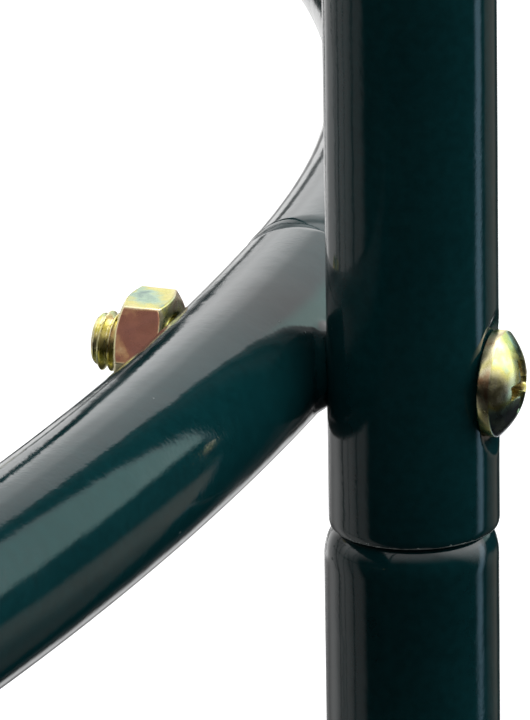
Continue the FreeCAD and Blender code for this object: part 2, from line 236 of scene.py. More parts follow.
def lip_stations(edge, sign, lip=HOOP_LIP, radius=None):
    """The rounded outer edge of a sleeve that ends at edge, reached while moving in direction sign."""
    length, depth = lip
    radius = radius or TUBE_R
    turns = np.linspace(0, math.pi / 2, 13)
    return [(edge - sign * length * (1 - math.sin(t)), radius - depth * (1 - math.cos(t))) for t in turns]


def roll_stations(seam, sign, full=None):
    """The rounded shoulder of a swaged tube, from the full tube to the neck at seam."""
    drop = (full or TUBE_R) - NECK_R
    turns = np.linspace(0, math.pi / 2, 16)
    return [(seam + sign * ROLL * (math.sin(t) - 1), NECK_R + drop * math.cos(t)) for t in turns]


def smooth(share):
    """A share from 0 to 1 with a soft start and end."""
    return share * share * (3 - 2 * share)


def press(points, seats):
    """Dimples under heads and nuts: a seat is a point on the tube's axis, a direction, reach and depth."""
    edge, width, spare = 1.5, 2.6, 0.2
    for place, direction, reach, depth in seats:
        offset = points - place
        height = offset @ direction
        aside = np.linalg.norm(offset - height[:, None] * direction, axis=1)
        share = smooth(np.clip((reach + edge - aside) / width, 0, 1))
        limit = TUBE_R + spare - (depth + spare) * share
        over = (height > limit) & (aside < reach + edge) & (height < TUBE_R + 1)
        points[over] += (limit[over] - height[over])[:, None] * direction
    return points


def saddle(points, crossings):
    """Small pads on a hoop that meet the rungs: a crossing is a point on the hoop's axis and a direction."""
    for place, direction in crossings:
        offset = points - place
        height = offset @ direction
        along = offset @ np.cross(ALONG_Y, direction)
        aside = np.hypot(along, offset[:, 1])
        share = smooth(np.clip((PAD_R - aside) / PAD_EDGE, 0, 1))
        target = OFFSET - np.sqrt(np.maximum(TUBE_R ** 2 - along ** 2, 1)) - 0.02
        rise = np.maximum(target - height, 0) * share * (height > 0) * (height < TUBE_R + 1)
        points += rise[:, None] * direction
    return points


def tube(name, line, outer, inner, seats, around, edges=(), crossings=()):
    """A closed tube along line(s) -> points, normals.

    outer and inner are lists of (s, radius), and the coat is worn within mark_reach of each edge, where the
    mark also draws a painted highlight.
    """
    mark_reach = 1.6
    stations = np.array(outer + inner)
    middle, normal = line(stations[:, 0])
    turn = np.linspace(0, 2 * math.pi, around, endpoint=False)
    aside = np.cross(line(stations[:, 0] + 0.01)[0] - line(stations[:, 0] - 0.01)[0], normal)
    aside /= np.linalg.norm(aside, axis=1)[:, None]
    ring = normal[:, None, :] * np.cos(turn)[None, :, None] + aside[:, None, :] * np.sin(turn)[None, :, None]
    rows = middle[:, None, :] + stations[:, 1][:, None, None] * ring
    n = len(outer)
    skin = rows[:n].reshape(-1, 3).copy()
    rows[:n] = saddle(press(skin, seats), crossings).reshape(n, around, 3)
    tag = np.zeros((len(stations), around))
    for edge in edges:
        wear_and_highlight = np.clip(1 - np.abs(stations[:n, 0] - edge) / mark_reach, 0, 1)
        tag[:n] = np.maximum(tag[:n], wear_and_highlight[:, None])
    soup = Soup()
    soup.grid(rows, closed_rows=True, tag=tag)
    piece = soup.make(name)
    piece.data.materials.append(COAT)
    return piece


def finish_piece(piece, node):
    """The piece stands for a CAD node, on the one body."""
    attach(piece, "root")
    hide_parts(node)


# ---------------------------------------------------------------- materials
def node_of(tree, kind, **values):
    """A shader node: a name that starts with _ sets a property, any other an input."""
    made = tree.nodes.new(kind)
    for key, value in values.items():
        if key[0] == "_":
            setattr(made, key[1:], value)
        else:
            made.inputs[key.replace("_", " ")].default_value = value
    return made


def new_material(name):
    """A material, its tree, its main shader and the object's own coordinates in metres."""
    made = bpy.data.materials.new(name)
    made.use_nodes = True
    tree = made.node_tree
    shader = next(n for n in tree.nodes if n.type == "BSDF_PRINCIPLED")
    place = node_of(tree, "ShaderNodeTexCoord")
    return made, tree, shader, place.outputs["Object"]


def noise(tree, place, scale, detail=2.0, roughness=0.5, distortion=0.0):
    made = node_of(tree, "ShaderNodeTexNoise", Scale=scale, Detail=detail, Roughness=roughness,
                   Distortion=distortion)
    tree.links.new(place, made.inputs["Vector"])
    return made.outputs["Fac"]


def ramp(tree, source, stops):
    """A colour ramp: stops are (position, colour) pairs."""
    made = node_of(tree, "ShaderNodeValToRGB")
    elements = made.color_ramp.elements
    while len(elements) < len(stops):
        elements.new(0.5)
    for element, (position, colour) in zip(elements, stops):
        element.position = position
        element.color = (*colour, 1)
    tree.links.new(source, made.inputs["Fac"])
    return made.outputs["Color"]


def levels(tree, source, low, high, to_low=0.0, to_high=1.0):
    """source mapped from low..high to to_low..to_high, and held there beyond."""
    made = node_of(tree, "ShaderNodeMapRange")
    made.inputs["From Min"].default_value = low
    made.inputs["From Max"].default_value = high
    made.inputs["To Min"].default_value = to_low
    made.inputs["To Max"].default_value = to_high
    tree.links.new(source, made.inputs["Value"])
    return made.outputs["Result"]


def calc(tree, operation, first, second=None, third=None):
    """A math node: each value is a number or a socket."""
    made = node_of(tree, "ShaderNodeMath", _operation=operation)
    for socket, value in zip(made.inputs, (first, second, third)):
        if value is None:
            continue
        if isinstance(value, (int, float)):
            socket.default_value = value
        else:
            tree.links.new(value, socket)
    return made.outputs[0]


def times(tree, *values):
    """The product of values, from the left."""
    total = values[0]
    for value in values[1:]:
        total = calc(tree, "MULTIPLY", total, value)
    return total


def blend_colours(tree, share, first, second):
    """first where share is 0, second where it is 1: each is a colour or a socket."""
    made = node_of(tree, "ShaderNodeMix", _data_type="RGBA")
    colours = [s for s in made.inputs if s.type == "RGBA"]
    for socket, value in zip(colours, (first, second)):
        if isinstance(value, tuple):
            socket.default_value = (*value, 1)
        else:
            tree.links.new(value, socket)
    tree.links.new(share, made.inputs[0])
    return [s for s in made.outputs if s.type == "RGBA"][0]


def bump(tree, height, distance, normal=None):
    made = node_of(tree, "ShaderNodeBump", Strength=1.0, Distance=distance)
    tree.links.new(height, made.inputs["Height"])
    if normal is not None:
        tree.links.new(normal, made.inputs["Normal"])
    return made.outputs["Normal"]


def point_mark(tree):
    """The mark that the mesh carries: wear and a painted highlight at the edges of a sleeve, film thickness
    on a fastener, and painted reflections on the near bolt's head and nut.
    """
    return node_of(tree, "ShaderNodeAttribute", _attribute_name="mark").outputs["Fac"]


def specks(tree, place, scale, size, share):
    """Sparse round dots, 1 inside a dot: share is the part of the cells that have one."""
    cells = node_of(tree, "ShaderNodeTexVoronoi", Scale=scale)
    tree.links.new(place, cells.inputs["Vector"])
    dot = levels(tree, cells.outputs["Distance"], size * 0.6, size, 1, 0)
    parted = node_of(tree, "ShaderNodeSeparateColor")
    tree.links.new(cells.outputs["Color"], parted.inputs[0])
    chosen = calc(tree, "GREATER_THAN", parted.outputs[0], 1 - share)
    return calc(tree, "MULTIPLY", dot, chosen)


def powder_coat():
    """Dark green gloss with dust, orange peel, a crinkled patch here and there, and pale chips at sleeve
    edges that are partly worn coat and partly a painted highlight, with a thin painted highlight line along
    each lip.
    """
    made, tree, shader, place = new_material("powder_coat")
    shade = ramp(tree, noise(tree, place, 26, 4, 0.6), [
        (0.30, (0.0016, 0.022, 0.025)), (0.50, (0.0024, 0.030, 0.034)), (0.72, (0.0040, 0.038, 0.042))])
    fine = levels(tree, noise(tree, place, 900, 3, 0.65), 0.35, 0.7, 0.85, 1.12)
    shade_fine = node_of(tree, "ShaderNodeVectorMath", _operation="SCALE")
    tree.links.new(shade, shade_fine.inputs[0])
    tree.links.new(fine, shade_fine.inputs["Scale"])
    dust = calc(tree, "MAXIMUM", specks(tree, place, 230, 0.045, 0.05),
                specks(tree, place, 620, 0.08, 0.03))
    coloured = blend_colours(tree, calc(tree, "MULTIPLY", dust, 0.6), shade_fine.outputs[0],
                             (0.30, 0.34, 0.33))
    lip = point_mark(tree)
    # Chips and grains are worn coat, made pale to act as a painted highlight; rim_highlight is a thin painted
    # highlight along the lip's very edge.
    chips = calc(tree, "GREATER_THAN", times(tree, lip, noise(tree, place, 700, 5, 0.7)), 0.54)
    grains = calc(tree, "GREATER_THAN", times(tree, lip, noise(tree, place, 2200, 3, 0.7)), 0.55)
    ragged = calc(tree, "ADD", lip, calc(tree, "MULTIPLY", noise(tree, place, 800, 3), 0.16))
    rim_highlight = calc(tree, "GREATER_THAN", ragged, 0.995)
    bare_and_highlight = calc(tree, "MAXIMUM", calc(tree, "MAXIMUM", chips, grains), calc(tree, "MULTIPLY", rim_highlight, 0.5))
    coloured = blend_colours(tree, bare_and_highlight, coloured, (0.50, 0.57, 0.55))
    tree.links.new(coloured, shader.inputs["Base Color"])
    rough = levels(tree, noise(tree, place, 60, 3), 0.3, 0.7, 0.06, 0.12)
    marks = calc(tree, "MAXIMUM", dust, bare_and_highlight)
    rough = calc(tree, "MAXIMUM", rough, calc(tree, "MULTIPLY", marks, 0.6))
    tree.links.new(rough, shader.inputs["Roughness"])
    normal = bump(tree, noise(tree, place, 95, 1, 0.5), 1.1e-4)
    normal = bump(tree, noise(tree, place, 520, 2, 0.5), 1.4e-5, normal)
    patch = levels(tree, noise(tree, place, 75, 2), 0.47, 0.60)
    crinkle = calc(tree, "MULTIPLY", noise(tree, place, 1700, 3, 0.65), patch)
    normal = bump(tree, crinkle, 1.4e-5, normal)
    normal = bump(tree, noise(tree, place, 2600, 2, 0.5), 1.2e-6, normal)
    normal = bump(tree, marks, 3.0e-5, normal)
    tree.links.new(normal, shader.inputs["Normal"])
    shader.inputs["IOR"].default_value = 1.5
    return made


def chromate():
    """Zinc plate with a chromate film: green to gold, and brown, pink and blue where it is thick; the mark
    adds painted reflections on the near bolt's head and nut.
    """
    made, tree, shader, place = new_material("yellow_chromate")
    film = calc(tree, "ADD", calc(tree, "MULTIPLY", noise(tree, place, 230, 2, 0.5, 0.6), 0.42),
                calc(tree, "MULTIPLY", noise(tree, place, 900, 3, 0.6), 0.12))
    film = calc(tree, "ADD", film, 0.23)
    film = calc(tree, "ADD", film, point_mark(tree))
    colour = ramp(tree, film, [
        (0.30, (0.10, 0.15, 0.19)), (0.39, (0.42, 0.57, 0.42)), (0.45, (0.70, 0.65, 0.21)),
        (0.53, (0.82, 0.74, 0.48)), (0.595, (0.50, 0.27, 0.14)), (0.63, (0.33, 0.14, 0.095)),
        (0.72, (0.30, 0.13, 0.10)), (0.85, (0.24, 0.14, 0.22))])
    stains = levels(tree, noise(tree, place, 420, 4, 0.7), 0.58, 0.78)
    coloured = blend_colours(tree, calc(tree, "MULTIPLY", stains, 0.4), colour, (0.16, 0.09, 0.05))
    tree.links.new(coloured, shader.inputs["Base Color"])
    shader.inputs["Metallic"].default_value = 1.0
    rough = levels(tree, noise(tree, place, 700, 3), 0.3, 0.7, 0.16, 0.34)
    tree.links.new(rough, shader.inputs["Roughness"])
    normal = bump(tree, noise(tree, place, 1300, 3, 0.6), 8e-6)
    normal = bump(tree, specks(tree, place, 900, 0.16, 0.10), -2.0e-5, normal)
    tree.links.new(normal, shader.inputs["Normal"])
    return made


def black_plastic():
    made, tree, shader, place = new_material("black_plastic")
    colour = ramp(tree, noise(tree, place, 300, 3), [
        (0.3, (0.010, 0.011, 0.012)), (0.7, (0.022, 0.024, 0.026))])
    tree.links.new(colour, shader.inputs["Base Color"])
    rough = levels(tree, noise(tree, place, 200, 3), 0.3, 0.7, 0.38, 0.55)
    tree.links.new(rough, shader.inputs["Roughness"])
    tree.links.new(bump(tree, noise(tree, place, 2200, 2), 1.0e-5), shader.inputs["Normal"])
    return made


COAT = powder_coat()
CHROMATE = chromate()
PLASTIC = black_plastic()


# ---------------------------------------------------------------- hoops
def in_plane(x, z, plane_y, side):
    """Points or directions in a hoop's plane, mirrored to the left where side is -1."""
    return np.stack([side * x, np.full_like(x, plane_y), z], -1)


def crown_line(plane_y):
    """s is the length along the arc from the top, to the right."""
    def line(s):
        turn = np.asarray(s, float) / CROWN_R
        away = in_plane(np.sin(turn), np.cos(turn), 0.0, 1)
        centre = np.array([0, plane_y, CROWN_Z])
        return centre + away * CROWN_R, away
    return line


def shoulder_line(plane_y, side):
    """s is the length from the seam: negative into the crown, then the straight roll, the bend and down."""
    bend_length = SHOULDER_R * (math.pi / 2 - SEAM)

    def line(s):
        s = np.asarray(s, float)
        back = SEAM + np.minimum(s, 0) / CROWN_R
        x = CROWN_R * np.sin(back)
        z = CROWN_Z + CROWN_R * np.cos(back)
        run = np.clip(s, 0, ROLL)
        x = x + run * math.cos(SEAM)
        z = z - run * math.sin(SEAM)
        turn = SEAM + np.clip(s - ROLL, 0, bend_length) / SHOULDER_R
        bent = s > ROLL
        x = np.where(bent, BEND_X + SHOULDER_R * np.sin(turn), x)
        z = np.where(bent, BEND_Z + SHOULDER_R * np.cos(turn), z)
        z = z - np.maximum(s - ROLL - bend_length, 0)
        angle = np.where(bent, turn, back)
        return in_plane(x, z, plane_y, side), in_plane(np.sin(angle), np.cos(angle), 0.0, side)
    return line, ROLL + bend_length


def leg_line(plane_y, side):
    """s is the height."""
    def line(s):
        s = np.asarray(s, float)
        x = np.full_like(s, HALF_WIDTH)
        return in_plane(x, s, plane_y, side), in_plane(np.ones_like(s), np.zeros_like(s), 0.0, side)
    return line


def on_axis(names, plane_y):
    """Where the bolts of these rungs cross the hoop's axis, and their outward directions."""
    return [(np.array([RUNGS[n][0], plane_y, RUNGS[n][1]]) - outward(n) * OFFSET, outward(n)) for n in names]


def nut_seats(names, plane_y):
    """The seats inside the hoop at these rungs."""
    found = []
    for name, (place, direction) in zip(names, on_axis(names, plane_y)):
        if is_near(name, plane_y):
            found.append((place - ALONG_Y * NEAR_LEAN * NEAR_NUT_LEVER, -direction, *NEAR_NUT_SEAT))
        else:
            found.append((place, -direction, NUT_CORNER_R + SEAT_MARGIN, NUT_SEAT))
    return found


def build_crown(plane, plane_y):
    near = plane == NEAR_PLANE
    end = CROWN_R * SEAM
    dense = [(CROWN_R * math.radians(angle), *AT_BOLT) for angle in (-45, -15, 15, 45)]
    if near:
        dense.append((-CROWN_R * math.radians(45) - 2, 40, 0.5))
    full = spread(-end + HOOP_LIP[0], end - HOOP_LIP[0], NEAR_STEP if near else HOOP_STEP, dense)[1:-1]
    outer = lip_stations(-end, -1)[::-1] + [(s, TUBE_R) for s in full] + lip_stations(end, 1)
    inner = [(s, BORE_R) for s in spread(end, -end, BORE_STEP)]
    names = ["left_shoulder_rung", "crown_rung_1", "crown_rung_2", "right_shoulder_rung"]
    piece = tube(f"{plane}_crown_tube", crown_line(plane_y), outer, inner, nut_seats(names, plane_y),
                 NEAR_AROUND if near else HOOP_AROUND, (-end, end), on_axis(names, plane_y))
    finish_piece(piece, f"{plane}_crown")


def build_shoulder(plane, plane_y, side, word):
    near = plane == NEAR_PLANE and side < 0
    line, tail_start = shoulder_line(plane_y, side)
    end = tail_start + BEND_Z - (TOP_SIDE_Z - HOOP_SOCKET)
    past = HOOP_SOCKET + NECK_BEYOND_BOLT
    dense = [(end - HOOP_SOCKET, *AT_BOLT)]
    if near:
        dense.append((15, 22, 0.5))
    full = spread(ROLL, end - HOOP_LIP[0], NEAR_STEP if near else HOOP_STEP, dense)[1:-1]
    outer = [(s, NECK_R) for s in (-past, -past * 0.66, -past * 0.33)] + roll_stations(0, -1)[::-1]
    outer += [(s, TUBE_R) for s in full] + lip_stations(end, 1)
    inner = [(s, BORE_R) for s in spread(end, ROLL, BORE_STEP)]
    inner += [(s, NECK_BORE_R) for s in (0, -past * 0.5, -past)]
    names = [f"{word}_rung_5"]
    piece = tube(f"{plane}_{word}_shoulder_tube", line, outer, inner, nut_seats(names, plane_y),
                 NEAR_AROUND if near else HOOP_AROUND, (end,), on_axis(names, plane_y))
    finish_piece(piece, f"{plane}_{word}_shoulder")


def build_leg(plane, plane_y, side, word, which):
    top = (TOP_SIDE_Z if which == "upper" else SPLIT_Z) - HOOP_SOCKET
    bottom = SPLIT_Z - HOOP_SOCKET if which == "upper" else FOOT_T
    past = HOOP_SOCKET + NECK_BEYOND_BOLT
    names = [f"{word}_rung_{n}" for n in ((3, 4, 5) if which == "upper" else (1, 2, 3))]
    dense = [(RUNGS[name][1], *AT_BOLT) for name in names]
    seats = nut_seats(names, plane_y)
    if which == "upper":
        outer = lip_stations(bottom, -1)[::-1]
    else:
        outer = [(bottom, TUBE_R)]
        dense.append((FOOT_BOLT_Z, *AT_BOLT))
        at = np.array([side * HALF_WIDTH, plane_y, FOOT_BOLT_Z])
        seats.append((at, -ALONG_Y, HEAD_D / 2 + SEAT_MARGIN, HEAD_SEAT))
        seats.append((at, ALONG_Y, NUT_CORNER_R + SEAT_MARGIN, NUT_SEAT))
    outer += [(s, TUBE_R) for s in spread(bottom, top - ROLL, STRAIGHT_STEP, dense)[1:-1]]
    outer += roll_stations(top, 1) + [(top + past, NECK_R)]
    inner = [(top + past, NECK_BORE_R), (top, NECK_BORE_R), (top - ROLL, BORE_R), (bottom, BORE_R)]
    piece = tube(f"{plane}_{word}_{which}_leg_tube", leg_line(plane_y, side), outer, inner, seats,
                 HOOP_AROUND, (bottom,) if which == "upper" else (), on_axis(names, plane_y))
    finish_piece(piece, f"{plane}_{word}_{which}_leg")


# ---------------------------------------------------------------- rungs
def rung_line(name, shift=0.0):
    """s is the place from front to rear; shift moves the part near the middle hoop outwards."""
    x, z = RUNGS[name]
    direction = outward(name)

    def line(s):
        s = np.asarray(s, float)
        points = np.stack([np.full_like(s, x), s, np.full_like(s, z)], -1)
        points += np.where(np.abs(s) < NEAR_REACH, shift, 0.0)[:, None] * direction
        return points, np.tile(direction, (len(s), 1))
    return line


def build_rung(name):
    near = name == NEAR_RUNG
    around = NEAR_AROUND if near else RUNG_AROUND
    x, z = RUNGS[name]
    direction = outward(name)
    seats = []
    for y in PLANES.values():
        margin, deeper = (NEAR_HEAD_MARGIN, NEAR_HEAD_DEEPER) if is_near(name, y) else (SEAT_MARGIN, 0)
        seats.append((np.array([x, y, z]), direction, HEAD_D / 2 + margin, HEAD_SEAT + deeper))
    dense = [(y, *AT_BOLT) for y in PLANES.values()]
    if near:
        dense.append((0, 48, 0.45))
    front_r = TUBE_R + (NEAR_COAT_FRONT if near else 0)
    rear_r = TUBE_R + (NEAR_COAT_REAR if near else 0)
    outer = [(-RUNG_END, TUBE_R)]
    outer += [(s, front_r if s > -NEAR_REACH else TUBE_R)
              for s in spread(-RUNG_END, RUNG_SOCKET - RUNG_LIP[0], RUNG_STEP, dense)[1:-1]]
    outer += lip_stations(RUNG_SOCKET, 1, RUNG_LIP, front_r)
    inner = [(RUNG_SOCKET, BORE_R), (-RUNG_END, BORE_R)]
    front = tube(f"{name}_front_tube", rung_line(name), outer, inner, seats, around, (RUNG_SOCKET,))
    finish_piece(front, f"{name}_front")
    past = RUNG_SOCKET + NECK_BEYOND_BOLT
    outer = [(RUNG_SOCKET - past, NECK_R)] + roll_stations(RUNG_SOCKET, -1, rear_r)[::-1]
    outer += [(s, rear_r if s < NEAR_REACH else TUBE_R)
              for s in spread(RUNG_SOCKET + ROLL, RUNG_END, RUNG_STEP, dense)[1:-1]]
    outer += [(RUNG_END, TUBE_R)]
    inner = [(RUNG_END, BORE_R), (RUNG_SOCKET + ROLL, BORE_R), (RUNG_SOCKET, NECK_BORE_R),
             (RUNG_SOCKET - past, NECK_BORE_R)]
    line = rung_line(name, NEAR_SHIFT if near else 0.0)
    rear = tube(f"{name}_rear_tube", line, outer, inner, seats, around)
    finish_piece(rear, f"{name}_rear")


# ---------------------------------------------------------------- turned parts
def axes(direction, spin):
    """Two unit vectors across direction, turned by spin degrees."""
    first = np.cross(ALONG_Y, direction) if abs(direction[1]) < 0.9 else np.cross(UP, direction)
    first /= np.linalg.norm(first)
    second = np.cross(direction, first)
    turn = math.radians(spin)
    return (first * math.cos(turn) + second * math.sin(turn),
            second * math.cos(turn) - first * math.sin(turn))


def recess(x, y):
    """Share of the cross recess's depth at a point of the head."""
    def arm(a, b):
        end = np.clip((RECESS_SPAN / 2 - np.abs(a)) / 0.5, 0, 1)
        width = RECESS_W / 2 * (1.12 - 0.10 * np.abs(a))
        wall = np.clip((width + 0.16 - np.abs(b)) / 0.24, 0, 1)
        return end * wall
    middle = np.clip((1.15 - np.hypot(x, y)) / 0.5, 0, 1)
    return np.maximum(np.maximum(arm(x, y), arm(y, x)), middle)


def bolt(soup, seat, direction, length, grip, spin, around, fine, film=0.0):
    """A pan head bolt: seat is the point under its head, direction points from the shank to the head.

    fine is for the near bolt: a finer recess and thread, and the film's colours placed on the head, with a
    painted reflection that turns the dome dark blue-grey towards its rear side.
    """
    across, along = axes(direction, spin)
    turn = np.linspace(0, 2 * math.pi, around, endpoint=False)
    rows = []
    half = HEAD_D / 2
    rise = HEAD_H - HEAD_EDGE

    def ring(q, z):
        return q * np.cos(turn), q * np.sin(turn), np.full_like(turn, z)

    recess_rings = np.arange(0.03, 3.3, 0.09 if fine else 0.24)
    for q in np.concatenate([recess_rings, np.linspace(3.4, half - 0.15, 7)]):
        z = HEAD_EDGE + 0.05 + (rise - 0.05) * (1 - (q / half) ** 2.3)
        x, y = q * np.cos(turn), q * np.sin(turn)
        rows.append((x, y, z - RECESS_DEPTH * recess(x, y)))
    for q, z in ((half - 0.05, HEAD_EDGE + 0.10), (half, HEAD_EDGE - 0.05), (half, 0.25),
                 (half - 0.08, 0.08), (half - 0.25, 0.0), (3.0, 0.0)):
        rows.append(ring(q, z))
    thread_from = -(grip + PLAIN_PAST_GRIP)
    rows.append(ring(THREAD_R, thread_from + 0.3))
    steps = 12 if fine else 6
    for z in np.arange(thread_from, -length, -PITCH / steps):
        phase = (z / PITCH + turn / (2 * math.pi)) % 1.0
        share = np.clip(np.abs(phase - 0.5) * 2 * 1.25 - 0.12, 0, 1)
        ease = min(1.0, (thread_from - z) / PITCH)
        r = THREAD_R - (THREAD_R - THREAD_ROOT) * (1 - share) * ease
        r = np.minimum(r, THREAD_R - 0.75 + (z + length) * 0.95)
        rows.append(ring(r, z))
    for q in (1.9, 1.0, CENTRE_R):
        rows.append(ring(q, -length))
    grid = np.array([[x, y, z] for x, y, z in rows]).transpose(0, 2, 1)
    points = seat + grid[..., :1] * across + grid[..., 1:2] * along + grid[..., 2:] * direction
    tag = np.full(grid.shape[:2], film)
    if fine:
        # Painted reflection: the near head's dome shifts to dark blue-grey towards its rear side; the recess
        # keeps a slight film shift.
        low = np.clip((grid[..., 1] - 0.2) / 1.8, 0, 1)
        painted_dome_reflection = -0.07 - 0.13 * low * low * (3 - 2 * low)
        cut = np.clip(recess(grid[..., 0], grid[..., 1]) * 3, 0, 1)
        tag = np.where(grid[..., 2] > HEAD_EDGE, painted_dome_reflection * (1 - cut) + 0.03 * cut, 0.0)
    soup.grid(points, cap_first=True, cap_last=True, tag=tag)


def nut(soup, bearing, direction, spin, fine, films_and_reflections):
    """A hexagon nut: bearing is the point on its face to the tube, films_and_reflections shift the colour of
    its sides: chromate film, and on the near nut painted reflections.
    """
    across, along = axes(direction, spin)
    facet = 20 if fine else 8
    mouth_r, mouth = NUT_BORE + 0.40, 0.45
    turn = np.concatenate([np.linspace(k * 60, k * 60 + 60, facet, endpoint=False) for k in range(6)])
    turn = np.radians(turn)
    local = (np.degrees(turn) % 60) - 30
    hexagon = NUT_FLATS / 2 / np.cos(np.radians(local))
    flat = NUT_FLATS / 2 - 0.25
    tilt = math.tan(math.radians(30))
    drop = np.maximum(hexagon - flat, 0) * tilt
    rings = [(np.full_like(turn, NUT_BORE), -mouth), (np.full_like(turn, mouth_r), 0.0),
             (np.full_like(turn, flat - 0.02), 0.0), (hexagon, -drop)]
    for share in (0.04, 0.5, 0.96):
        rings.append((hexagon, -drop * (1 - share) - (NUT_H - drop) * share))
    rings += [(hexagon, drop - NUT_H), (np.full_like(turn, flat - 0.02), -NUT_H),
              (np.full_like(turn, mouth_r), -NUT_H), (np.full_like(turn, NUT_BORE), mouth - NUT_H)]
    grid = np.array([[r * np.cos(turn), r * np.sin(turn), z + 0 * turn] for r, z in rings])
    grid = grid.transpose(0, 2, 1)
    points = bearing + grid[..., :1] * across + grid[..., 1:2] * along + grid[..., 2:] * direction
    inside = np.zeros(grid.shape[:2])
    inside[4:7] = np.tile(np.arange(facet) > 0, 6)
    tag = np.repeat(np.array(films_and_reflections), facet)[None, :] * inside + 0.02 * (1 - inside)
    soup.grid(points, closed_rows=True, tag=tag)


def build_fasteners():
    rung_bolts, foot_bolts, nuts = Soup(), Soup(), Soup()
    grip = TUBE_R * 2 + OFFSET - HEAD_SEAT - NUT_SEAT
    for name in RUNGS:
        x, z = RUNGS[name]
        for plane_y in PLANES.values():
            direction = outward(name)
            near = is_near(name, plane_y)
            deeper = NEAR_HEAD_DEEPER if near else 0
            seat = np.array([x, plane_y, z]) + direction * (TUBE_R - HEAD_SEAT - deeper)
            films_and_reflections = [DICE.uniform(-0.1, 0.1) for _ in range(6)]
            if near:
                direction = direction + ALONG_Y * NEAR_LEAN
                direction = direction / np.linalg.norm(direction)
                # The near nut's sides carry painted reflections on top of their film.
                films_and_reflections = NEAR_FILMS_AND_REFLECTIONS
            bolt(rung_bolts, seat, direction, BOLT_LONG, grip, 0 if near else DICE.uniform(0, 90),
                 144 if near else 40, near, DICE.uniform(-0.06, 0.08))
            place = seat - direction * (grip - (NEAR_NUT_LIFT if near else 0))
            nut(nuts, place, direction, NEAR_NUT_SPIN if near else DICE.uniform(0, 60), near, films_and_reflections)
    short = TUBE_R * 2 - HEAD_SEAT - NUT_SEAT
    for side in (-1, 1):
        for plane_y in PLANES.values():
            seat = np.array([side * HALF_WIDTH, plane_y - TUBE_R + HEAD_SEAT, FOOT_BOLT_Z])
            bolt(foot_bolts, seat, -ALONG_Y, BOLT_SHORT, short, DICE.uniform(0, 90), 40, False)
            nut(nuts, seat + ALONG_Y * short, -ALONG_Y, DICE.uniform(0, 60), False, [0.0] * 6)
    for soup, node in ((rung_bolts, "rung_bolts"), (foot_bolts, "foot_bolts"), (nuts, "hex_nuts")):
        piece = soup.make(f"{node}_detailed", 30)
        piece.data.materials.append(CHROMATE)
        finish_piece(piece, node)
        if node == "hex_nuts":
            edge = piece.modifiers.new("worn_edges", "BEVEL")
            edge.width = WORN_EDGE * MM
            edge.segments = 3
            edge.limit_method = "ANGLE"
            edge.angle_limit = math.radians(20)
            edge.harden_normals = False


def build_caps():
    soup = Soup()
    turn = np.linspace(0, 2 * math.pi, 48, endpoint=False)
    profile = [(CENTRE_R, CAP_FLANGE), (TUBE_R - 2 * CAP_ROUND, CAP_FLANGE)]
    for angle in np.linspace(0, math.pi / 2, 7):
        profile.append((TUBE_R - CAP_ROUND + CAP_ROUND * math.sin(angle),
                        CAP_FLANGE - CAP_ROUND + CAP_ROUND * math.cos(angle)))
    plug = BORE_R - CAP_CLEARANCE
    profile += [(TUBE_R, 0.05), (TUBE_R - 0.05, 0), (plug, 0), (plug, 0.6 - CAP_PLUG),
                (plug - 0.6, -CAP_PLUG), (CENTRE_R, -CAP_PLUG)]
    for name in RUNGS:
        x, z = RUNGS[name]
        for sign in (-1, 1):
            rows = [np.stack([x + q * np.cos(turn), np.full_like(turn, sign * (RUNG_END + h)),
                              z + q * np.sin(turn)], -1) for q, h in profile]
            soup.grid(np.array(rows), cap_first=True, cap_last=True)
    piece = soup.make("rung_caps_detailed", 40)
    piece.data.materials.append(PLASTIC)
    finish_piece(piece, "rung_caps")


# ---------------------------------------------------------------- feet
def outline(curve, points):
    """A closed flat line in a curve, in metres."""
    spline = curve.splines.new("POLY")
    spline.points.add(len(points) - 1)
    spline.points.foreach_set("co", np.array([[x * MM, y * MM, 0, 1] for x, y in points]).ravel())
    spline.use_cyclic_u = True


def foot_plate():
    """The mesh of one foot plate round the origin, with its four holes and softened edges."""
    curve = bpy.data.curves.new("foot_outline", "CURVE")
    curve.dimensions = "2D"
    curve.fill_mode = "BOTH"
    half = FOOT_W / 2 - FOOT_SOFTEN
    corner = []
    for quarter in range(4):
        angles = np.radians(np.linspace(quarter * 90, quarter * 90 + 90, 10))
        centre_x = (half - FOOT_CORNER) * (1 if quarter in (0, 3) else -1)
        centre_y = (half - FOOT_CORNER) * (1 if quarter in (0, 1) else -1)
        corner += [(centre_x + FOOT_CORNER * math.cos(a), centre_y + FOOT_CORNER * math.sin(a))
                   for a in angles]
    outline(curve, corner)
    ring = np.linspace(0, 2 * math.pi, 40, endpoint=False)
    hole_r = FOOT_HOLE_R + FOOT_SOFTEN
    for sx in (-1, 1):
        for sy in (-1, 1):
            outline(curve, [(sx * FOOT_HOLE_AT + hole_r * math.cos(a),
                             sy * FOOT_HOLE_AT + hole_r * math.sin(a)) for a in -ring])
    curve.extrude = (FOOT_T / 2 - FOOT_SOFTEN) * MM
    curve.bevel_depth = FOOT_SOFTEN * MM
    curve.bevel_resolution = 3
    shape = bpy.data.objects.new("foot_outline", curve)
    bpy.context.scene.collection.objects.link(shape)
    bpy.context.view_layer.update()
    plate = bpy.data.meshes.new_from_object(shape.evaluated_get(bpy.context.evaluated_depsgraph_get()))
    bpy.data.objects.remove(shape)
    return plate


